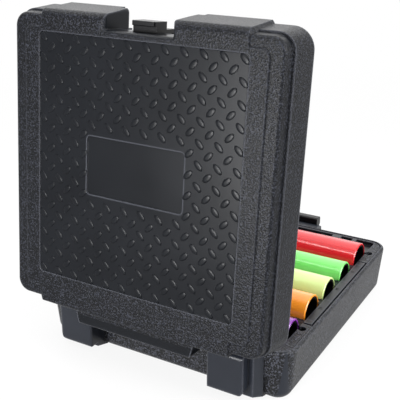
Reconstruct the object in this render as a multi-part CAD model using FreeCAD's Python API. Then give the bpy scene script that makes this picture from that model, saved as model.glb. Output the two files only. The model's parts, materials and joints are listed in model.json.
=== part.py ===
import FreeCAD, Part
import math

from FreeCAD import Vector

# Socket wrench set in a hinged case, millimetres, X along the hinge, +Y to the latch side, Z up
# The origin is the centre of the base's underside, and the lid stands open

# Case
case_width = 236.0
case_depth = 238.0
base_height = 46.0
lid_height = 34.5
wall = 3.0
base_draft = 4.0
lid_draft = 4.0
corner_radius = 16.0
base_edge_round = 8.0
floor_round = 1.8
rim_round = 2.5
rim_gap = 0.3
open_angle = 83.9

# Lid's outer face: a stepped edge zone, a raised panel, a tread field and a plain plate recess
lid_edge_round = 3.0
lid_step_height = 24.0
lid_step = 1.5
panel_rise = 1.0
panel_margin_side = 16.5
panel_margin_back = 15.0
panel_margin_front = 14.5
panel_round = 6.0
panel_slope = 1.2
spine_width = 172.0
spine_proud = 2.4
spine_slope = 3.0
spine_back_start = 12.0
spine_front_round = 6.0
field_width = 176.0
field_margin_back = 28.5
field_margin_front = 18.0
field_depth = 0.5
field_round = 3.0
plate_width = 85.0
plate_length = 45.0
plate_depth = 1.0

# Hinge
knuckle_radius = 6.0
hinge_clearance = 0.5
hinge_pin_radius = 2.5
pin_fit = 0.05
lid_bar_width = 104.0
lid_bar_height = 30.0
lid_bar_skin = 0.5
lid_bar_flare = 3.0
lid_bar_lean = 2.0
lid_bar_round = 6.0
block_side_gap = 4.0
block_width = 32.0
block_depth = 18.0
block_slant = 9.0
block_back_foot = 9.5
block_wall_foot = 2.0
block_round = 4.0

# Latch in the lid's notch
notch_width = 57.0
notch_depth = 12.6
pocket_depth = 34.0
pocket_wall = 2.5
notch_flare = 4.0
notch_cheek = 7.0
notch_edge_round = 3.0
rim_relief = 4.6
head_room = 1.6
latch_width = 20.0
latch_setback = 15.0
latch_side_gap = 0.6
latch_pivot_height = 18.0
latch_pin_radius = 1.6
latch_hub_radius = 4.0
latch_reach = 10.6
thumb_back = 5.0
thumb_front = 8.0
thumb_lip = 1.5
thumb_lip_height = 3.6
latch_leg = 3.0
latch_hook_height = 0.8
barb_reach = 2.0
barb_thickness = 2.2
catch_width = 16.0
catch_gap = 1.9
catch_lip = 2.5
catch_play = 1.0
catch_thickness = 2.5
catch_foot = 8.0

# Carry handle
handle_width = 76.0
handle_section = 9.0
handle_arm = 5.0
handle_above_rim = 5.0
handle_gap = 0.3
handle_pivot_height = 14.0
handle_pivot_inset = 3.0
handle_boss_radius = 4.5
handle_pin_radius = 2.0
handle_round = 2.0
cheek_width = 5.0
front_block_depth = 10.0

# Lid liner
liner_drop = 17.0

# Socket tray
groove = 1.8
groove_depth = 6.0
groove_end_gap = 11.5
tray_wall = 2.0
deck_drop = 0.6
deck_round = 0.8
seat_gap = 0.3
recess_depth = 3.5
recess_end_gap = 3.5
recess_margin_back = 22.0
recess_margin_front = 6.0
recess_round = 3.0
tab_reach = 6.0
tab_starts = (39.5, 18.5)
tab_widths = (9.0, 4.0)
corner_hole_radius = 3.5
corner_hole_inset = 9.0

# Sockets: one hexagon across flats per row, from the hinge side to the latch side
hex_sizes = (15.0, 21.0, 19.0, 17.0, 22.0)
row_margin = 41.0
socket_drop = 5.3
mouth_setback = 15.5
drive_setback = 20.5
hex_depth = 35.0
hex_wall = 1.95
sleeve_fit = 0.1
sleeve_wall = 1.65
drive_square = 12.7
drive_depth = 18.0
drive_head = 17.5
web = 4.0
ring_setback = 6.0
ring_width = 1.5
ring_gap = 0.2
ring_groove = 0.8
ring_proud = 0.6
nose_flange = 1.5
nose_recess = 0.5
nose_length = 6.0
nose_wall = 1.0
socket_chamfer = 0.6
ball_hole_radius = 2.0

# Places that follow from these sizes
half_width = case_width / 2
half_depth = case_depth / 2
lid_z = base_height + rim_gap
hinge_y = -half_depth - knuckle_radius - hinge_clearance
hinge_z = base_height
panel_top = lid_height + panel_rise
lid_roof = lid_height - wall
latch_y = half_depth - latch_setback
latch_z = lid_z + latch_pivot_height
handle_back = half_depth + front_block_depth + handle_gap
handle_pivot_y = handle_back + handle_section - handle_pivot_inset
deck_z = base_height - deck_drop
socket_z = base_height - socket_drop
mouth_x = half_width - mouth_setback
drive_x = -half_width + drive_setback
shoulder_x = drive_x + drive_head
ring_x = shoulder_x + ring_setback
flange_x = mouth_x - nose_flange
row_pitch = (case_depth - 2 * row_margin) / (len(hex_sizes) - 1)
barb_top = latch_hook_height + barb_thickness
lip_front_y = latch_y - catch_gap
catch_front_y = lip_front_y - catch_lip


def corner_reach(across_flats):
    return across_flats / math.sqrt(3)


def body_radius(across_flats):
    return corner_reach(across_flats) + hex_wall


def sleeve_radius(across_flats):
    return body_radius(across_flats) + sleeve_fit + sleeve_wall


def ring_radius(across_flats):
    return body_radius(across_flats) + sleeve_fit + ring_proud


def seat_radius(across_flats):
    return corner_reach(across_flats) + sleeve_fit + nose_wall


def row_y(row):
    return -half_depth + row_margin + row * row_pitch


def base_inset(z):
    return base_draft * (1 - z / base_height)


def lid_inset(height):
    return lid_draft * height / lid_height


def save(shape, name):
    shape.exportStep("parts/" + name + ".step")


def opened(shape):
    turned = shape.copy()
    turned.rotate(Vector(0, hinge_y, hinge_z), Vector(1, 0, 0), open_angle)
    return turned


def box(x0, x1, y0, y1, z0, z1):
    return Part.makeBox(x1 - x0, y1 - y0, z1 - z0, Vector(x0, y0, z0))


def rod(radius, x0, x1, y, z):
    return Part.makeCylinder(radius, x1 - x0, Vector(x0, y, z), Vector(1, 0, 0))


# A closed outline through corner points, each corner rounded by its own radius
def soft_wire(points, radii):
    starts = []
    ends = []
    middles = []
    count = len(points)
    for i in range(count):
        before = (points[i - 1] - points[i]).normalize()
        after = (points[(i + 1) % count] - points[i]).normalize()
        half = before.getAngle(after) / 2
        back = radii[i] / math.tan(half)
        inward = (before + after).normalize()
        starts.append(points[i] + before * back)
        ends.append(points[i] + after * back)
        middles.append(points[i] + inward * (radii[i] / math.sin(half) - radii[i]))
    edges = []
    for i in range(count):
        if radii[i] > 0:
            edges.append(Part.Arc(starts[i], middles[i], ends[i]).toShape())
        if ends[i].distanceToPoint(starts[(i + 1) % count]) > 1e-6:
            edges.append(Part.makeLine(ends[i], starts[(i + 1) % count]))
    return Part.Wire(edges)


# A side profile given in y and z, run along X
def along_x(profile, radii, x0, x1):
    points = [Vector(x0, y, z) for y, z in profile]
    return Part.Face(soft_wire(points, radii)).extrude(Vector(x1 - x0, 0, 0))


# A plan given in x and y, raised along Z
def along_z(plan, radii, z0, z1):
    points = [Vector(x, y, z0) for x, y in plan]
    return Part.Face(soft_wire(points, radii)).extrude(Vector(0, 0, z1 - z0))


# A front outline given in x and z, run along Y
def along_y(outline, radii, y0, y1):
    points = [Vector(x, y0, z) for x, z in outline]
    return Part.Face(soft_wire(points, radii)).extrude(Vector(0, y1 - y0, 0))


def plan_wire(inset, z):
    x = half_width - inset
    y = half_depth - inset
    corners = [Vector(-x, -y, z), Vector(x, -y, z), Vector(x, y, z), Vector(-x, y, z)]
    return soft_wire(corners, [corner_radius - inset] * 4)


# A box with rounded plan corners whose walls lean between two insets from the case's rim
def tapered(inset_low, z_low, inset_high, z_high):
    return Part.makeLoft([plan_wire(inset_low, z_low), plan_wire(inset_high, z_high)], True, True)


def edges_at(shape, z):
    return [e for e in shape.Edges if abs(e.BoundBox.ZMax - z) < 0.01 and abs(e.BoundBox.ZMin - z) < 0.01]


def mirrored(shape):
    return shape.mirror(Vector(0, 0, 0), Vector(1, 0, 0))


# One hinge block behind the base, with its knuckle on top
def hinge_block():
    inner = lid_bar_width / 2 + block_side_gap
    outer = inner + block_width
    back = -half_depth - block_depth
    top = base_height - rim_gap
    side = [(-half_depth + base_inset(top) + wall / 2, top), (back, top), (back, block_back_foot),
            (-half_depth + base_inset(block_wall_foot) + wall / 2, block_wall_foot)]
    plan = [(inner, -half_depth + base_draft + wall), (inner, back), (outer, back),
            (outer + block_slant, -half_depth), (outer + block_slant, -half_depth + base_draft + wall)]
    block = along_x(side, [0, block_round, block_round, 0], inner, outer + block_slant)
    block = block.common(along_z(plan, [0, block_round / 2, block_round, 0, 0], 0, base_height))
    foot = block_back_foot
    front = [(inner, foot), (outer, foot), (outer, base_height), (inner, base_height)]
    start = back + block_slant
    nose = along_y(front, [block_round / 4, block_round * 1.5, 0, 0], back, start)
    root = box(inner, outer + block_slant, start, -half_depth + base_draft + wall, 0, base_height)
    block = block.common(nose.fuse(root))
    knuckle = rod(knuckle_radius, inner, outer, hinge_y, hinge_z)
    bore = rod(hinge_pin_radius + pin_fit, inner - 1, outer + block_slant + 1, hinge_y, hinge_z)
    return block.fuse(knuckle).cut(bore)


# The block on the front wall that the folded handle leans on, with a cheek outside each handle arm
def front_block():
    inner = handle_width / 2 + handle_gap
    outer = inner + cheek_width
    front = half_depth + front_block_depth
    top = base_height - rim_gap
    foot = block_wall_foot
    side = [(half_depth - base_inset(top) - wall / 2, top), (front, top), (front, foot + block_round),
            (half_depth - base_inset(foot) - wall / 2, foot)]
    block = along_x(side, [0, block_round, block_round, 0], -outer, outer)
    reach = handle_boss_radius + handle_pin_radius / 2
    nose = handle_pivot_y + reach
    low = handle_pivot_height - reach
    high = handle_pivot_height + reach
    ear = [(front - wall, low), (nose, low), (nose, high), (front - wall, high)]
    soft = [0, handle_boss_radius, handle_boss_radius, 0]
    cheek = along_x(ear, soft, inner, outer)
    block = block.fuse([cheek, mirrored(cheek)])
    bore = rod(handle_pin_radius + pin_fit, -outer - 1, outer + 1, handle_pivot_y, handle_pivot_height)
    return block.cut(bore)


def base_shell():
    outer = tapered(base_draft, 0, 0, base_height)
    outer = outer.makeFillet(base_edge_round, edges_at(outer, 0))
    outer = outer.makeFillet(rim_round, edges_at(outer, base_height))
    over = base_height + wall
    cavity = tapered(base_inset(wall) + wall, wall, base_inset(over) + wall, over)
    cavity = cavity.makeFillet(floor_round, edges_at(cavity, wall))
    block = hinge_block()
    shell = outer.cut(cavity)
    return shell.fuse([block, mirrored(block), front_block()]).removeSplitter()


def hinge_pin():
    reach = lid_bar_width / 2 + block_side_gap + block_width - pin_fit
    return rod(hinge_pin_radius, -reach, reach, hinge_y, hinge_z)


# A post on the base's floor whose lip the latch's barb takes hold of
def latch_catch():
    top = lid_z + barb_top + catch_play + barb_thickness
    lip_low = lid_z + barb_top + catch_play
    back = catch_front_y - catch_thickness
    side = [(back, wall), (catch_front_y + catch_foot, wall), (catch_front_y + catch_foot, 2 * wall),
            (catch_front_y, 2 * wall), (catch_front_y, lip_low), (lip_front_y, lip_low),
            (lip_front_y, top), (back, top)]
    soft = [0, 0, 0, catch_thickness, 0, 0, catch_thickness / 2, 0]
    return along_x(side, soft, -catch_width / 2, catch_width / 2)


# The tray is a thin shell in the base: a border near the rim, a recess, and a half-round bed for each socket
def socket_tray():
    def inset(z):
        return base_inset(z) + wall + seat_gap
    under = deck_z - tray_wall
    floor = deck_z - recess_depth
    outer = tapered(inset(wall) + floor_round, wall, inset(deck_z), deck_z)
    outer = outer.makeFillet(deck_round, edges_at(outer, deck_z))
    hollow = tapered(inset(0) + floor_round + tray_wall, 0, inset(under) + tray_wall, under)
    left = drive_x - recess_end_gap
    right = mouth_x + recess_end_gap
    back = -half_depth + recess_margin_back
    front = half_depth - recess_margin_front
    skin = tray_wall
    solids = [box(left - skin, right + skin, back - skin, front + skin, floor - skin, under)]
    plan = [(left, back), (right, back), (right, front), (left, front)]
    holes = [along_z(plan, [recess_round] * 4, floor, deck_z + 1)]
    for row, size in enumerate(hex_sizes):
        radius = sleeve_radius(size) + seat_gap
        solids.append(rod(radius + skin, left - skin, right + skin, row_y(row), socket_z))
        holes.append(rod(radius, left, right, row_y(row), socket_z))
    beds = solids[0].fuse(solids[1:])
    beds = beds.common(outer).common(box(-half_width, half_width, -half_depth, half_depth, wall, under))
    rim = half_width - wall
    reach = -row_y(0) - groove_end_gap
    low = deck_z - groove_depth
    holes.append(box(rim - groove, half_width, -reach, reach, low, deck_z + 1))
    holes.append(box(right - 1, half_width, -reach, groove - reach, low, deck_z + 1))
    holes.append(box(right - 1, half_width, reach - groove, reach, low, deck_z + 1))
    for y in (row_y(0) + corner_hole_radius, row_y(len(hex_sizes) - 1) + corner_hole_inset):
        spot = Vector(half_width - corner_hole_inset, y, wall)
        holes.append(Part.makeCylinder(corner_hole_radius, deck_z, spot))
    room = catch_width / 2 + tray_wall
    holes.append(box(-room, room, catch_front_y - catch_thickness - catch_play,
                     catch_front_y + catch_foot + catch_play, 0, deck_z + 1))
    tray = outer.cut(hollow).fuse(beds).cut(holes)
    tabs = []
    for start, width in zip(tab_starts, tab_widths):
        x = mouth_x - start
        sunk = tray_wall / 2
        tab = box(x, x + width, front - tab_reach, front + sunk, floor - sunk, deck_z)
        tabs.append(tab)
        tabs.append(mirrored(tab))
    return tray.fuse(tabs).removeSplitter()


# The tray's stretch under one socket, up to halfway to the next
def tray_row(tray, row):
    last = len(hex_sizes) - 1
    low = -half_depth if row == 0 else row_y(row) - row_pitch / 2
    high = half_depth if row == last else row_y(row) + row_pitch / 2
    return tray.common(box(-half_width, half_width, low, high, 0, base_height))


def handle_pin():
    inner = handle_width / 2 - handle_arm
    outer = handle_width / 2 + handle_gap + cheek_width
    return rod(handle_pin_radius, inner + pin_fit, outer - pin_fit, handle_pivot_y, handle_pivot_height)


# A bail folded up against the front block
def carry_handle():
    half = handle_width / 2
    top = base_height + handle_above_rim
    front = handle_back + handle_section
    low = top - handle_section
    section = [(handle_back, low), (front, low), (front, top), (handle_back, top)]
    bar = along_x(section, [handle_round] * 4, -half, half)
    plan = [(half - handle_arm, handle_back), (half, handle_back), (half, front), (half - handle_arm, front)]
    arm = along_z(plan, [handle_round] * 4, handle_pivot_height, top - handle_section / 2)
    boss = rod(handle_boss_radius, half - handle_arm, half, handle_pivot_y, handle_pivot_height)
    arm = arm.fuse(boss)
    bore = rod(handle_pin_radius + pin_fit, -half - 1, half + 1, handle_pivot_y, handle_pivot_height)
    return bar.fuse([arm, mirrored(arm)]).cut(bore).removeSplitter()


# The raised spine that runs over the lid's outer face and down its front and back walls, with sloping sides
def lid_spine():
    core = wall * 0.8
    deep = lid_height - core
    start = spine_back_start

    def section(x, proud):
        def out(height):
            return half_depth - lid_inset(height) + proud

        def middle(height):
            return half_depth - lid_inset(height) - core
        top = lid_height + panel_rise * proud / spine_proud
        profile = [(-out(start), start), (-out(top), top), (out(top), top), (out(0), 0),
                   (middle(0), 0), (middle(deep), deep), (-middle(deep), deep), (-middle(start), start)]
        radii = [spine_proud / 5, lid_edge_round, spine_front_round, 0, 0, 0, 0, 0]
        return soft_wire([Vector(x, y, z + lid_z) for y, z in profile], radii)
    half = spine_width / 2
    sunk = -lid_step - spine_proud / 10
    sections = [section(-half - spine_slope, sunk), section(-half, spine_proud),
                section(half, spine_proud), section(half + spine_slope, sunk)]
    return Part.makeLoft(sections, True, True)


# The bar behind the lid that turns on the hinge pin between the base's blocks
def lid_bar():
    half = lid_bar_width / 2
    wide = half + lid_bar_flare
    back = hinge_y - knuckle_radius - lid_bar_skin
    low = hinge_z - knuckle_radius / 2
    top = lid_z + lid_bar_height
    root = -half_depth + lid_inset(lid_bar_height) + wall / 2
    side = [(back, low), (back + lid_bar_lean, top), (root, top), (-half_depth + wall / 2, lid_z),
            (hinge_y, lid_z), (hinge_y, low)]
    bar = along_x(side, [lid_bar_skin, lid_edge_round / 2, 0, 0, 0, 0], -wide, wide)
    plan = [(-half, back), (half, back), (wide, -half_depth), (wide, root),
            (-wide, root), (-wide, -half_depth)]
    trim = along_z(plan, [lid_bar_round, lid_bar_round, 0, 0, 0, 0], low, top)
    return bar.common(trim).fuse(rod(knuckle_radius, -half, half, hinge_y, hinge_z))


# The raised panel on the outer face, a rounded rectangle with sloping edges
def lid_panel():
    def outline(grow, z):
        x = half_width - panel_margin_side + grow
        y0 = -half_depth + panel_margin_back - grow
        y1 = half_depth - panel_margin_front + grow
        corners = [Vector(-x, y0, z), Vector(x, y0, z), Vector(x, y1, z), Vector(-x, y1, z)]
        return soft_wire(corners, [panel_round + grow] * 4)
    top = lid_z + panel_top
    return Part.makeLoft([outline(2 * panel_slope, top - 2 * panel_rise), outline(0, top)], True, True)


# The walls round the latch in the lid, their skirt cut short where the last socket stands
def latch_pocket():
    side = notch_width / 2 + notch_cheek
    back = half_depth - pocket_depth - pocket_wall
    front = half_depth - wall / 2
    roof = lid_roof + wall / 2
    top = lid_z + roof
    beside = sleeve_radius(hex_sizes[-1]) + row_y(len(hex_sizes) - 1) + head_room
    skirt = lid_z + sleeve_radius(max(hex_sizes)) - socket_drop - rim_gap + head_room
    profile = [(back, skirt), (beside, skirt), (beside, lid_z), (front, lid_z),
               (front - lid_inset(roof), top), (back, top)]
    return along_x(profile, [0] * 6, -side, side)


# The blocks beside the clip that hold the ends of its pin
def latch_blocks():
    inner = latch_width / 2 + latch_side_gap
    outer = (notch_width + notch_cheek) / 2
    block = box(inner, outer, latch_y - latch_hub_radius, half_depth - notch_depth,
                latch_z - latch_hub_radius, lid_z + lid_roof + wall / 4)
    return [block, mirrored(block)]


# The notch's outline in plan, grown by a margin, its mouth flared at the front wall
def notch_outline(grow, z):
    half = notch_width / 2 + grow
    floor = half_depth - notch_depth - grow
    far = half_depth + spine_proud
    flare = half + notch_flare
    over = far + notch_flare
    mouth = [(-half, floor), (half, floor), (half, far), (flare, far),
             (flare, over), (-flare, over), (-flare, far), (-half, far)]
    soft = notch_flare * 0.98
    return soft_wire([Vector(x, y, z) for x, y in mouth], [1 + grow, 1 + grow, soft, 0, 0, 0, 0, soft])


# The notch through the lid's front wall and outer face, with a rounded edge, room behind it and a rim relief
def notch_cuts():
    half = notch_width / 2
    top = lid_z + panel_top
    height = panel_top + 2
    opening = Part.Face(notch_outline(0, lid_z - 1)).extrude(Vector(0, 0, height))
    rounding = []
    for turn in (0, 30, 55, 75, 90):
        t = math.radians(turn)
        grow = notch_edge_round * (1 - math.cos(t))
        rounding.append(notch_outline(grow, top - notch_edge_round * (1 - math.sin(t))))
    edge = Part.makeLoft(rounding, True, True)
    inside = box(-half, half, half_depth - pocket_depth, half_depth, lid_z - 1, lid_z + lid_roof)
    side = half + notch_cheek
    far = half_depth + spine_proud + 1
    relief = box(-side, side, half_depth - notch_depth, far, lid_z - 1, lid_z + rim_relief)
    return [opening, edge, inside, relief]


# The sunk tread field on the lid's panel and the deeper plate recess in its middle
def field_cuts():
    x = field_width / 2
    back = -half_depth + field_margin_back
    front = half_depth - field_margin_front
    floor = lid_z + panel_top - field_depth
    over = lid_z + panel_top + 1
    soft = [field_round] * 4
    tread = along_z([(-x, back), (x, back), (x, front), (-x, front)], soft, floor, over)
    x = plate_width / 2
    low = (front + back - plate_length) / 2
    high = low + plate_length
    plate = along_z([(-x, low), (x, low), (x, high), (-x, high)], soft, floor - plate_depth, over)
    return [tread, plate]


def lid_shell():
    step = lid_step_height
    low = tapered(0, lid_z, lid_inset(step), lid_z + step)
    start = step - wall
    edge = tapered(lid_inset(start) + lid_step, lid_z + start, lid_draft + lid_step, lid_z + lid_height)
    edge = edge.makeFillet(lid_edge_round, edges_at(edge, lid_z + lid_height))
    outer = low.fuse([edge, lid_panel(), lid_spine(), lid_bar()])
    cavity = tapered(wall - lid_inset(1), lid_z - 1, wall + lid_inset(lid_roof), lid_z + lid_roof)
    shell = outer.cut(cavity).fuse(latch_pocket())
    reach = notch_width / 2 + notch_cheek / 2 + pin_fit
    pivot = rod(latch_pin_radius + pin_fit, -reach, reach, latch_y, latch_z)
    bore = rod(hinge_pin_radius + pin_fit, -half_width, half_width, hinge_y, hinge_z)
    shell = shell.cut(notch_cuts() + field_cuts()).fuse(latch_blocks())
    return opened(shell.cut([pivot, bore]).removeSplitter())


# A shallow pan inside the lid, cut out round the latch's pocket
def lid_liner():
    rim = rim_gap + 1
    deep = lid_height - liner_drop
    edge = wall + seat_gap
    outer = tapered(edge + lid_inset(rim), lid_z + rim, edge + lid_inset(deep), lid_z + deep)
    low = edge + tray_wall
    roof = deep - tray_wall
    hollow = tapered(low, lid_z, low + lid_inset(roof), lid_z + roof)
    room = notch_width / 2 + notch_cheek + seat_gap
    back = half_depth - pocket_depth - pocket_wall - seat_gap
    pocket = box(-room, room, back, half_depth, lid_z, lid_z + lid_height)
    return opened(outer.cut([hollow, pocket]))


def latch_pin():
    reach = notch_width / 2 + notch_cheek / 2
    return opened(rod(latch_pin_radius, -reach, reach, latch_y, latch_z))


# A lever with a lipped thumb block, a hub on its pin, and a leg with a barb
def latch_clip():
    half = latch_width / 2
    hub = latch_hub_radius
    foot = latch_hook_height - latch_pivot_height
    leg0 = barb_reach
    leg1 = barb_reach + latch_leg
    thumb = [(0, -thumb_back), (latch_reach, -thumb_back), (latch_reach, thumb_front), (0, thumb_front)]
    leg = [(leg0, 0), (leg1, 0), (leg1, foot), (leg0, foot), (0, foot + barb_thickness / 2),
           (0, foot + barb_thickness), (leg0, foot + barb_thickness)]
    lip_y = latch_reach - thumb_lip_height
    lip_z = thumb_front + thumb_lip
    lip = [(lip_y, 0), (latch_reach, 0), (latch_reach, lip_z), (lip_y, lip_z)]

    def placed(profile, radii, x0, x1):
        return along_x([(latch_y + y, latch_z + z) for y, z in profile], radii, x0, x1)
    clip = rod(hub, -half, half, latch_y, latch_z)
    clip = clip.fuse([placed(thumb, [1, 0, 0, 1], -half, half), placed(leg, [0] * 7, -half, half),
                      placed(lip, [0, 0, thumb_lip / 2, thumb_lip / 2], -half, half - thumb_lip)])
    bore = rod(latch_pin_radius + pin_fit, -half - 1, half + 1, latch_y, latch_z)
    return opened(clip.cut(bore).removeSplitter())


def hexagon(across_flats, x0, x1, y, z):
    reach = corner_reach(across_flats)
    turns = [math.radians(60 * i) for i in range(6)]
    points = [Vector(x0, y + reach * math.cos(t), z + reach * math.sin(t)) for t in turns]
    return Part.Face(soft_wire(points, [0] * 6)).extrude(Vector(x1 - x0, 0, 0))


def ring(outer, inner, x0, x1, y, z):
    return rod(outer, x0, x1, y, z).cut(rod(inner, x0 - 1, x1 + 1, y, z))


# The steel body: a drive head with a square, a hexagon in the mouth, and a groove for the ring
def socket_body(row, size):
    y = row_y(row)
    z = socket_z
    radius = body_radius(size)
    head_radius = sleeve_radius(size)
    head = rod(head_radius, drive_x, shoulder_x, y, z)
    head = head.makeChamfer(socket_chamfer, [e for e in head.Edges if abs(e.BoundBox.XMax - drive_x) < 0.01])
    body = rod(radius, shoulder_x - 1, flange_x, y, z).fuse(head)
    side = drive_square / 2
    hex_end = flange_x - hex_depth
    waist = drive_x + drive_depth + web
    spot = Vector(drive_x + drive_head / 2, y, z)
    cuts = [hexagon(size, hex_end, mouth_x, y, z),
            rod(size / 2 - web / 4, waist, hex_end + 1, y, z),
            rod(seat_radius(size) + pin_fit, flange_x - nose_length, mouth_x, y, z),
            box(drive_x - 1, drive_x + drive_depth, y - side, y + side, z - side, z + side),
            Part.makeCylinder(ball_hole_radius, head_radius + 1, spot),
            ring(radius + 1, radius - ring_groove, ring_x, ring_x + ring_width, y, z)]
    return body.cut(cuts)


# The coloured sleeve that spins on the body, with a groove inside it for the ring
def socket_sleeve(row, size):
    y = row_y(row)
    z = socket_z
    outer = sleeve_radius(size)
    sleeve = ring(outer, body_radius(size) + sleeve_fit, shoulder_x + ring_gap, mouth_x, y, z)
    flat = [e for e in sleeve.Edges if e.BoundBox.XLength < 0.01]
    rims = [e for e in flat if e.BoundBox.YLength > 2 * outer - 0.1]
    sleeve = sleeve.makeChamfer(socket_chamfer, rims)
    room = ring_radius(size) + sleeve_fit
    return sleeve.cut(rod(room, ring_x - ring_gap, ring_x + ring_width + ring_gap, y, z))


# The insert pressed into the mouth, flanged over the end of the body
def nose_insert(row, size):
    y = row_y(row)
    z = socket_z
    bore = corner_reach(size) + sleeve_fit
    end = mouth_x - nose_recess
    insert = ring(seat_radius(size), bore, flange_x - nose_length + pin_fit, end, y, z)
    flange = ring(body_radius(size), bore, flange_x + pin_fit, end, y, z)
    return insert.fuse(flange).removeSplitter()


# The ring in the body's groove that holds the sleeve
def retaining_ring(row, size):
    bore = body_radius(size) - ring_groove + pin_fit
    start = ring_x + pin_fit
    end = ring_x + ring_width - pin_fit
    return ring(ring_radius(size), bore, start, end, row_y(row), socket_z)


save(base_shell(), "base_shell")
save(hinge_pin(), "hinge_pin")
save(latch_catch(), "latch_catch")
save(handle_pin(), "handle_pin_right")
save(mirrored(handle_pin()), "handle_pin_left")
save(carry_handle(), "carry_handle")
save(lid_shell(), "lid_shell")
save(lid_liner(), "lid_liner")
save(latch_pin(), "latch_pin")
save(latch_clip(), "latch_clip")
tray = socket_tray()
for row, size in enumerate(hex_sizes):
    name = "socket_%d_" % (row + 1)
    save(tray_row(tray, row), "tray_row_%d" % (row + 1))
    save(socket_body(row, size), name + "body")
    save(socket_sleeve(row, size), name + "sleeve")
    save(nose_insert(row, size), name + "nose_insert")
    save(retaining_ring(row, size), name + "retaining_ring")
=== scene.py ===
import json
import math

import bmesh
import bpy
import numpy as np
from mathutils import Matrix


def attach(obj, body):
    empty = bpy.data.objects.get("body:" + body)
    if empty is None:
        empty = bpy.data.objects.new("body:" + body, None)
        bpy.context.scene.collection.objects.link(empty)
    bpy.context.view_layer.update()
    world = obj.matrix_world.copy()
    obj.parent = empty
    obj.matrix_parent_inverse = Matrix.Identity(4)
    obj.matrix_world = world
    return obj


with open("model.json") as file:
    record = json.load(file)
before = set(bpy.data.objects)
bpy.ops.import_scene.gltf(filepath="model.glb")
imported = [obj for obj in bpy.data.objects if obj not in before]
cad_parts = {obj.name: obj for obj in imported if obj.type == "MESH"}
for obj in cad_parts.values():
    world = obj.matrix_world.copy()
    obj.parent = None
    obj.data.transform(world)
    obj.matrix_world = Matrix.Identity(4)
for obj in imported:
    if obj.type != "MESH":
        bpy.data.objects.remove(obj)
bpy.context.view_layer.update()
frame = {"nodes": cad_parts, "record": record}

# Sizes in millimetres, in the part's own frame: X along the hinge, Y to the latch side, Z up
HALF_DEPTH = 119.0
HINGE_Y = -125.5
HINGE_Z = 46.0
LID_RIM_Z = 46.3
OPEN_ANGLE = math.radians(83.9)
FIELD_HALF_WIDTH = 88.0
FIELD_BACK = 28.5
FIELD_FRONT = 220.0
FIELD_HEIGHT = 35.0
PLATE_HALF = (42.5, 22.5)
LOZENGE_PITCH = 15.35
LOZENGE_EDGE = 3.4
STRIP_X = 109.3
STRIP_Z = 45.4
DIGIT_SIZE = 4.2
DIGIT_HALF_HEIGHT = 0.15
DIGIT_PAST_ROW = 3.0
NUMBERED_ROWS = {-39.0: "21", 0.0: "19", 39.0: "17"}


def linear(hex_colour):
    """sRGB hex to linear RGBA: c/12.92 below 0.04045, otherwise ((c + 0.055)/1.055) to the power 2.4."""
    c = np.array([int(hex_colour[i:i + 2], 16) for i in (1, 3, 5)]) / 255.0
    c = np.where(c <= 0.04045, c / 12.92, ((c + 0.055) / 1.055) ** 2.4)
    return (*c.tolist(), 1.0)


def on_lid(u, v, w):
    """The open lid's place in metres of a point u along the hinge, v from the lid's back rim, w from its mating rim.

    The closed lid's point (u, v - half depth, rim + w) is turned about the hinge axis by the open angle."""
    dy = v - HALF_DEPTH - HINGE_Y
    dz = LID_RIM_Z + w - HINGE_Z
    c, s = math.cos(OPEN_ANGLE), math.sin(OPEN_ANGLE)
    return np.stack([u, HINGE_Y + dy * c - dz * s, HINGE_Z + dy * s + dz * c], axis=-1) * 0.001


def piece(name, points, faces, material, body, slot):
    """A smooth mesh object at the origin from an array of points in metres and a list of faces."""
    mesh = bpy.data.meshes.new(name)
    mesh.from_pydata(points.reshape(-1, 3).tolist(), [], faces)
    mesh.polygons.foreach_set("use_smooth", np.ones(len(mesh.polygons), bool))
    mesh.materials.append(material)
    obj = bpy.data.objects.new(name, mesh)
    bpy.context.scene.collection.objects.link(obj)
    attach(obj, body)
    return obj


# Materials

def node(tree, kind, inputs=None, **settings):
    """Adds one node, sets its properties, and sets or links its inputs."""
    n = tree.nodes.new(kind)
    for key, value in settings.items():
        setattr(n, key, value)
    for key, value in (inputs or {}).items():
        if isinstance(value, bpy.types.NodeSocket):
            tree.links.new(value, n.inputs[key])
        else:
            n.inputs[key].default_value = value
    return n


def material(name, **constants):
    """A material with one Principled shader, whose constants are set on the shader's own sockets."""
    m = bpy.data.materials.new(name)
    m.use_nodes = True
    shader = m.node_tree.nodes["Principled BSDF"]
    for key, value in constants.items():
        shader.inputs[key.replace("_", " ").title().replace("Ior", "IOR")].default_value = value
    return m, m.node_tree, shader


def in_box(tree, place, low, high):
    """1 inside a box given in millimetres and 0 outside: the largest of |p - centre| - half size is below zero."""
    low, high = np.array(low) * 0.001, np.array(high) * 0.001
    p = node(tree, "ShaderNodeVectorMath", {0: place, 1: ((low + high) / 2).tolist()}, operation="SUBTRACT")
    p = node(tree, "ShaderNodeVectorMath", {0: p.outputs[0]}, operation="ABSOLUTE")
    p = node(tree, "ShaderNodeVectorMath", {0: p.outputs[0], 1: ((high - low) / 2).tolist()}, operation="SUBTRACT")
    x, y, z = node(tree, "ShaderNodeSeparateXYZ", {0: p.outputs[0]}).outputs
    far = node(tree, "ShaderNodeMath", {0: x, 1: y}, operation="MAXIMUM").outputs[0]
    far = node(tree, "ShaderNodeMath", {0: far, 1: z}, operation="MAXIMUM").outputs[0]
    return node(tree, "ShaderNodeMath", {0: far, 1: 0.0}, operation="LESS_THAN").outputs[0]


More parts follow.
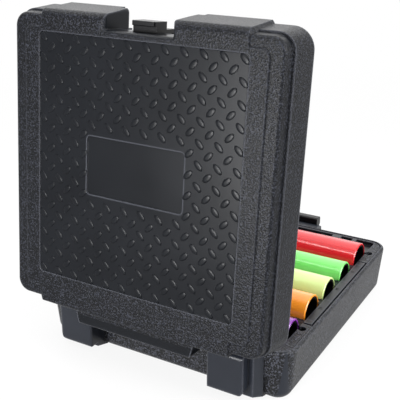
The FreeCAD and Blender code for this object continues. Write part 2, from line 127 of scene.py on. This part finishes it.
def moulded_shell(name, boxes, boxes_smooth, edge_highlight, shine, tint, speck_and_scatter, lump, grain, on_the_lid=False):
    """Moulded polyethylene, charcoal. Most of it has a spark-eroded stipple, shown as fine grey specks painted into
    the colour: partly its uneven tone, partly painted light that stands in for the light the stipple scatters. Places
    where the mould was polished are darker and bluer and catch a soft sheen. The boxes bound either kind, shine is the
    strength of the gloss, least on the lid, which is worn dull, tint the polished colour, speck that of the stipple's
    lumps, lump and grain their width and height in mm, and rub the strength of a painted highlight that pales convex
    edges."""
    m, tree, shader = material(name, specular_ior_level=shine)
    place = node(tree, "ShaderNodeTexCoord").outputs["Object"]
    flat = place
    if on_the_lid:
        flat = node(tree, "ShaderNodeVectorRotate", {
            "Vector": place, "Center": (0, HINGE_Y * 0.001, HINGE_Z * 0.001), "Axis": (1, 0, 0),
            "Angle": -OPEN_ANGLE}, rotation_type="AXIS_ANGLE").outputs["Vector"]
    mask = in_box(tree, flat, *boxes[0])
    for low, high in boxes[1:]:
        mask = node(tree, "ShaderNodeMath", {0: mask, 1: in_box(tree, flat, low, high)}, operation="MAXIMUM").outputs[0]
    stipple = mask
    if boxes_smooth:
        stipple = node(tree, "ShaderNodeMath", {0: 1.0, 1: mask}, operation="SUBTRACT").outputs[0]
    # Lumps wider than a mould's own stipple of about 0.6 mm, which would vanish at a picture's size
    lumps = node(tree, "ShaderNodeTexNoise", {"Vector": place, "Scale": 1000.0 / lump, "Detail": 1.0, "Roughness": 0.5})
    # Cloudiness 40 mm across from uneven flow of the melt
    cloud = node(tree, "ShaderNodeTexNoise", {"Vector": place, "Scale": 1000.0 / 40.0, "Detail": 3.0})
    # Partly painted light: the grey of the lumps makes the stipple lighter than the polished places, standing in for
    # the light the stipple scatters as well as its uneven tone
    specks = node(tree, "ShaderNodeMapRange", {0: lumps.outputs[0], 1: 0.5, 2: 0.66, 3: 0.0, 4: 1.0})
    stipple_tone_and_scatter = node(tree, "ShaderNodeMix", {0: specks.outputs[0], 6: linear("#06070a"), 7: linear(speck_and_scatter)},
                   data_type="RGBA")
    base = np.array(linear(tint))
    plain = node(tree, "ShaderNodeMix", {0: cloud.outputs[0], 6: (base * 0.7).tolist(), 7: (base * 1.3).tolist()},
                 data_type="RGBA")
    tone = node(tree, "ShaderNodeMix", {0: stipple, 6: plain.outputs[2], 7: stipple_tone_and_scatter.outputs[2]}, data_type="RGBA")
    # Painted highlight: convex outer edges are paled towards #4a4c53, found where rays 1.4 mm long inside the wall meet
    # its surface, which happens only near such an edge
    rim = node(tree, "ShaderNodeAmbientOcclusion", {"Distance": 0.0014}, samples=8, inside=True, only_local=True)
    painted_edge_highlight = node(tree, "ShaderNodeMapRange", {0: rim.outputs["AO"], 1: 0.98, 2: 0.75, 3: 0.0, 4: edge_highlight})
    tone = node(tree, "ShaderNodeMix", {0: painted_edge_highlight.outputs[0], 6: tone.outputs[2], 7: linear("#4a4c53")},
                data_type="RGBA")
    tree.links.new(tone.outputs[2], shader.inputs["Base Color"])
    sheen = node(tree, "ShaderNodeMapRange", {0: cloud.outputs[0], 1: 0.3, 2: 0.7, 3: 0.28, 4: 0.33})
    gloss = node(tree, "ShaderNodeMath", {0: stipple, 1: 0.1, 2: sheen.outputs[0]}, operation="MULTIPLY_ADD")
    tree.links.new(gloss.outputs[0], shader.inputs["Roughness"])
    height = node(tree, "ShaderNodeMath", {0: lumps.outputs[0], 1: stipple}, operation="MULTIPLY").outputs[0]
    # Moulded edges are never sharp: a 1.2 mm round shows as a thin light line along them
    edge = node(tree, "ShaderNodeBevel", {"Radius": 0.0012}, samples=4)
    bump = node(tree, "ShaderNodeBump", {"Height": height, "Strength": 1.0, "Distance": grain * 0.001,
                                         "Normal": edge.outputs[0]})
    tree.links.new(bump.outputs["Normal"], shader.inputs["Normal"])
    return m


def moulded_nylon(name, colour, roughness):
    """Injection-moulded glass-filled nylon: black with a satin skin, soft highlights and a faint fibre mottle."""
    m, tree, shader = material(name, specular_ior_level=0.2)
    place = node(tree, "ShaderNodeTexCoord").outputs["Object"]
    # Fibre mottle 0.8 mm across
    mottle = node(tree, "ShaderNodeTexNoise", {"Vector": place, "Scale": 1000.0 / 0.8, "Detail": 2.0})
    base = np.array(linear(colour))
    tone = node(tree, "ShaderNodeMix", {0: mottle.outputs[0], 6: (base * 0.7).tolist(), 7: (base * 1.3).tolist()},
                data_type="RGBA")
    tree.links.new(tone.outputs[2], shader.inputs["Base Color"])
    gloss = node(tree, "ShaderNodeMapRange", {0: mottle.outputs[0], 1: 0.3, 2: 0.7, 3: roughness - 0.04,
                                              4: roughness + 0.06})
    tree.links.new(gloss.outputs[0], shader.inputs["Roughness"])
    edge = node(tree, "ShaderNodeBevel", {"Radius": 0.0004}, samples=4)
    tree.links.new(edge.outputs[0], shader.inputs["Normal"])
    return m


def glossy_sleeve(name, colour):
    """Dyed nylon tube, extruded and glossy: bright saturated colour under a clear skin with long sharp highlights."""
    m, tree, shader = material(name, specular_ior_level=0.35, coat_weight=0.5, coat_roughness=0.05)
    place = node(tree, "ShaderNodeTexCoord").outputs["Object"]
    # Rub marks round the tube 0.8 mm apart, so faint that they only dull the gloss
    stretched = node(tree, "ShaderNodeMapping", {"Vector": place, "Scale": (1250.0, 40.0, 40.0)})
    rubs = node(tree, "ShaderNodeTexNoise", {"Vector": stretched.outputs[0], "Scale": 1.0, "Detail": 2.0})
    # Dye cloudiness 25 mm across
    cloud = node(tree, "ShaderNodeTexNoise", {"Vector": place, "Scale": 1000.0 / 25.0, "Detail": 3.0})
    base = np.array(linear(colour))
    tone = node(tree, "ShaderNodeMix", {0: cloud.outputs[0], 6: (base * 0.92).tolist(),
                                        7: np.minimum(base * 1.06, 1).tolist()}, data_type="RGBA")
    tree.links.new(tone.outputs[2], shader.inputs["Base Color"])
    gloss = node(tree, "ShaderNodeMapRange", {0: rubs.outputs[0], 1: 0.3, 2: 0.75, 3: 0.2, 4: 0.26})
    tree.links.new(gloss.outputs[0], shader.inputs["Roughness"])
    return m


def turned_steel(name, colour, roughness, streak_mm):
    """Steel rod, drawn or turned: fine lines along X that stretch its highlights."""
    m, tree, shader = material(name, metallic=1.0)
    place = node(tree, "ShaderNodeTexCoord").outputs["Object"]
    across = 1000.0 / streak_mm
    stretched = node(tree, "ShaderNodeMapping", {"Vector": place, "Scale": (60.0, across, across)})
    streak = node(tree, "ShaderNodeTexNoise", {"Vector": stretched.outputs[0], "Scale": 1.0, "Detail": 3.0})
    base = np.array(linear(colour))
    tone = node(tree, "ShaderNodeMix", {0: streak.outputs[0], 6: (base * 0.8).tolist(),
                                        7: np.minimum(base * 1.15, 1).tolist()}, data_type="RGBA")
    tree.links.new(tone.outputs[2], shader.inputs["Base Color"])
    gloss = node(tree, "ShaderNodeMapRange", {0: streak.outputs[0], 1: 0.3, 2: 0.7, 3: roughness - 0.06,
                                              4: roughness + 0.08})
    tree.links.new(gloss.outputs[0], shader.inputs["Roughness"])
    return m


# Polished places of the closed lid: tread field, hinge bar, latch notch, inside
field_y = (FIELD_BACK - HALF_DEPTH, FIELD_FRONT - HALF_DEPTH)
lid_polished = [((-FIELD_HALF_WIDTH, field_y[0], 78.0), (FIELD_HALF_WIDTH, field_y[1], 84.0)),
                ((-60.0, -140.0, 30.0), (60.0, -HALF_DEPTH - 3.0, 90.0)),
                ((-29.2, 83.0, 40.0), (29.2, 125.0, 81.5)),
                ((-112.0, -113.0, 40.0), (112.0, 113.0, 78.0))]
# Polished places of the base: hinge blocks, front block, inside
base_polished = [((-120.0, -140.0, -1.0), (120.0, -HALF_DEPTH - 0.2, 60.0)),
                 ((-120.0, HALF_DEPTH + 0.2, -1.0), (120.0, 145.0, 60.0)),
                 ((-114.0, -114.5, 3.0), (114.0, 114.5, 60.0))]
# Stippled places of the tray: its border at the corners past the strip
tray_stippled = [((105.9, 70.0, 43.0), (120.0, 120.0, 46.0)), ((105.9, -120.0, 43.0), (120.0, -70.0, 46.0))]

# Each rub is the strength of the painted highlight along convex edges, none on the tread
lid_look = dict(shine=0.13, tint="#0b0d11", speck_and_scatter="#25272e", lump=1.2, grain=0.45, on_the_lid=True)
lid_plastic = moulded_shell("moulded_polyethylene_lid", lid_polished, True, edge_highlight=0.5, **lid_look)
tread_plastic = moulded_shell("moulded_polyethylene_tread", lid_polished, True, edge_highlight=0.0, **lid_look)
base_plastic = moulded_shell("moulded_polyethylene_base", base_polished, True, edge_highlight=0.45, shine=0.24, tint="#1a1d24",
                             speck_and_scatter="#383a42", lump=1.6, grain=1.0)
tray_plastic = moulded_shell("moulded_polyethylene_tray", tray_stippled, False, edge_highlight=0.45, shine=0.2, tint="#0e1014",
                             speck_and_scatter="#383a42", lump=1.6, grain=1.0)
black_nylon = moulded_nylon("moulded_black_nylon", "#08080a", 0.34)
pin_steel = turned_steel("drawn_bright_steel", "#b9bbbf", 0.28, 0.4)
phosphate = turned_steel("phosphated_chrome_vanadium_steel", "#2a2b2d", 0.5, 0.5)
dyes = {"purple": "#7a2f9a", "orange": "#ea8e26", "lime": "#cae292", "green": "#72d066", "red": "#c41d24"}

by_slot = {"case": base_plastic, "tray": tray_plastic, "black_plastic": black_nylon, "pin_steel": pin_steel,
           "socket_steel": phosphate}
by_slot.update({"sleeve_" + dye: glossy_sleeve("extruded_nylon_" + dye, colour) for dye, colour in dyes.items()})
for part in frame["record"]["subparts"]:
    obj = frame["nodes"][part["node"]]
    finish = lid_plastic if part["node"] == "lid_shell" else by_slot[part["material_slot"]]
    for s in obj.material_slots:
        s.material = finish


# Tread lozenges on the lid's field

def lozenges():
    """Pointed ovals on a square lattice, those of every other place turned the other way.

    Half width b (1 - s^2)^0.6 along the length s in -1..1, crown height h (1 - s^4)(1 - t^6) across the width t in
    -1..1. Each ring has nine points over the crown and two sunk in the field, and the ends close in one point each."""
    half_length, half_width, crown, sunk = 4.7, 2.4, 0.35, 0.4
    s = np.linspace(-1, 1, 13)[1:-1]
    t = np.concatenate([np.sin(np.linspace(-math.pi / 2, math.pi / 2, 9)), [1.0, -1.0]])
    under = np.concatenate([np.zeros(9), np.ones(2)])
    points = len(t)
    along = np.repeat(s[:, None] * half_length, points, axis=1)
    wide = half_width * ((1 - s ** 2) ** 0.6)[:, None] * t
    high = crown * (1 - s ** 4)[:, None] * (1 - t ** 6) - sunk * under
    rings = np.stack([along, wide, high], axis=-1).reshape(-1, 3)
    one = np.concatenate([rings, [[-half_length, 0, 0], [half_length, 0, 0]]])
    k = np.arange(len(s) - 1)[:, None] * points
    i = np.arange(points)
    j = (i + 1) % points
    last = len(rings) - points
    quads = np.stack([k + i, k + points + i, k + points + j, k + j], axis=-1).reshape(-1, 4)
    tips = np.concatenate([np.stack([np.full(points, len(rings)), i, j], axis=-1),
                           np.stack([np.full(points, len(rings) + 1), last + j, last + i], axis=-1)])
    middle = (FIELD_BACK + FIELD_FRONT) / 2
    a, b, other = np.meshgrid(np.arange(-6, 7), np.arange(-7, 8), np.arange(2), indexing="ij")
    u = (a + 0.5 * (1 - other)) * LOZENGE_PITCH
    v = middle + (b + 0.5 * other) * LOZENGE_PITCH
    turn = np.where(other == 0, -1.0, 1.0) * math.radians(45)
    keep = (np.abs(u) < FIELD_HALF_WIDTH - LOZENGE_EDGE) & (v > FIELD_BACK + LOZENGE_EDGE)
    keep &= v < FIELD_FRONT - LOZENGE_EDGE
    keep &= (np.abs(u) > PLATE_HALF[0] + LOZENGE_EDGE) | (np.abs(v - middle) > PLATE_HALF[1] + LOZENGE_EDGE)
    u, v, turn = u[keep][:, None], v[keep][:, None], turn[keep][:, None]
    x = u + one[:, 0] * np.cos(turn) - one[:, 1] * np.sin(turn)
    y = v + one[:, 0] * np.sin(turn) + one[:, 1] * np.cos(turn)
    first = (np.arange(len(u)) * len(one))[:, None, None]
    faces = (first + quads).reshape(-1, 4).tolist() + (first + tips).reshape(-1, 3).tolist()
    return on_lid(x, y, FIELD_HEIGHT + np.broadcast_to(one[:, 2], x.shape)), faces


piece("lid_tread_lozenges", *lozenges(), tread_plastic, "lid", "case")


# Size numbers on the tray's strip, black as painted shade for recessed numbers

def number(text, y):
    """Raised digits beside one mouth, read from the mouths' side: text x runs along +Y and text y along -X.
    They are black: painted shade that stands in for the shade inside moulded recessed numbers.
    """
    words = bpy.data.curves.new("size_" + text, "FONT")
    words.body = text
    words.size = DIGIT_SIZE * 0.001
    words.extrude = DIGIT_HALF_HEIGHT * 0.001
    words.align_x = "CENTER"
    words.align_y = "CENTER"
    words.resolution_u = 3
    maker = bpy.data.objects.new("size_" + text, words)
    mesh = bpy.data.meshes.new_from_object(maker)
    bpy.data.objects.remove(maker)
    solid = bmesh.new()
    solid.from_mesh(mesh)
    bmesh.ops.remove_doubles(solid, verts=solid.verts, dist=1e-7)
    solid.to_mesh(mesh)
    solid.free()
    flat = np.empty(len(mesh.vertices) * 3)
    mesh.vertices.foreach_get("co", flat)
    x, up, high = flat.reshape(-1, 3).T
    points = np.stack([STRIP_X * 0.001 - up, y * 0.001 + x, STRIP_Z * 0.001 + high], axis=-1)
    faces = [tuple(p.vertices) for p in mesh.polygons]
    piece("size_number_" + text, points, faces, black_nylon, "base", "tray")


for row_y, text in NUMBERED_ROWS.items():
    number(text, row_y + DIGIT_PAST_ROW)


# Floor, light and camera

def backdrop_rays(tree):
    """1 for rays that show the white background itself, straight, mirrored or through glass, and 0 for its light."""
    rays = node(tree, "ShaderNodeLightPath").outputs
    seen = node(tree, "ShaderNodeMath", {0: rays["Is Camera Ray"], 1: rays["Is Glossy Ray"]}, operation="MAXIMUM")
    return node(tree, "ShaderNodeMath", {0: seen.outputs[0], 1: rays["Is Transmission Ray"]},
                operation="MAXIMUM").outputs[0]


floor_mesh = bpy.data.meshes.new("floor")
floor_mesh.from_pydata([(-6, -6, 0), (6, -6, 0), (6, 6, 0), (-6, 6, 0)], [], [(0, 1, 2, 3)])
floor = bpy.data.objects.new("floor", floor_mesh)
bpy.context.scene.collection.objects.link(floor)
paper, tree, shader = material("white_paper_floor", roughness=0.9, base_color=(0.72, 0.72, 0.72, 1))
glow = node(tree, "ShaderNodeEmission", {"Color": (1, 1, 1, 1), "Strength": 1.0})
# Near the case a ninth of what is seen is the paper itself, which takes the shadow, and far off it is all white
away = node(tree, "ShaderNodeVectorMath", {0: node(tree, "ShaderNodeTexCoord").outputs["Object"]}, operation="LENGTH")
pale = node(tree, "ShaderNodeMapRange", {0: away.outputs["Value"], 1: 0.4, 2: 1.2, 3: 0.89, 4: 1.0})
seen = node(tree, "ShaderNodeMath", {0: backdrop_rays(tree), 1: pale.outputs[0]}, operation="MULTIPLY")
mixed = node(tree, "ShaderNodeMixShader", {0: seen.outputs[0], 1: shader.outputs[0], 2: glow.outputs[0]})
tree.links.new(mixed.outputs[0], tree.nodes["Material Output"].inputs["Surface"])
floor_mesh.materials.append(paper)

world = bpy.data.worlds.new("studio")
bpy.context.scene.world = world
world.use_nodes = True
tree = world.node_tree
tree.nodes.clear()
soft = node(tree, "ShaderNodeBackground", {"Color": (1, 1, 1, 1), "Strength": 0.2})
white = node(tree, "ShaderNodeBackground", {"Color": (1, 1, 1, 1), "Strength": 1.0})
mixed = node(tree, "ShaderNodeMixShader", {0: backdrop_rays(tree), 1: soft.outputs[0], 2: white.outputs[0]})
node(tree, "ShaderNodeOutputWorld", {"Surface": mixed.outputs[0]})


def lamp(name, place, target, size, power):
    """A rectangular softbox turned from a place to a target, these and its size in metres and its power in watts."""
    light = bpy.data.lights.new(name, "AREA")
    light.shape = "RECTANGLE"
    light.size, light.size_y = size
    light.energy = power
    obj = bpy.data.objects.new(name, light)
    obj.location = place
    away = np.array(place) - np.array(target)
    obj.rotation_euler = (math.atan2(math.hypot(away[0], away[1]), away[2]), 0, math.atan2(away[0], -away[1]))
    bpy.context.scene.collection.objects.link(obj)


lamp("back_softbox", (-0.6, 0.9, 1.2), (0, 0, 0.05), (2.6, 2.2), 22)
lamp("strip_softbox", (-0.4, -0.3, 0.95), (0, 0.05, 0.05), (1.0, 0.06), 2.5)
lamp("front_softbox", (-0.08, -0.845, 0.18), (0.05, -0.16, 0.15), (0.25, 0.3), 8.3)
lamp("side_softbox", (0.9, 0.0, 0.55), (0.1, 0, 0.1), (0.6, 0.6), 13)
lamp("top_softbox", (0.2, -0.6, 1.3), (0, -0.1, 0), (0.8, 0.8), 12)

# The camera stands where the photograph's was, as found from the corners of lid and base
camera = bpy.data.cameras.new("camera")
camera.lens = 71.67
camera.sensor_width = 36.0
viewer = bpy.data.objects.new("camera", camera)
viewer.location = (0.3166, -0.5959, 0.3768)
viewer.rotation_euler = (math.radians(68.35), 0, math.radians(30.09))
bpy.context.scene.collection.objects.link(viewer)
bpy.context.scene.camera = viewer
bpy.context.scene.view_settings.view_transform = "Standard"
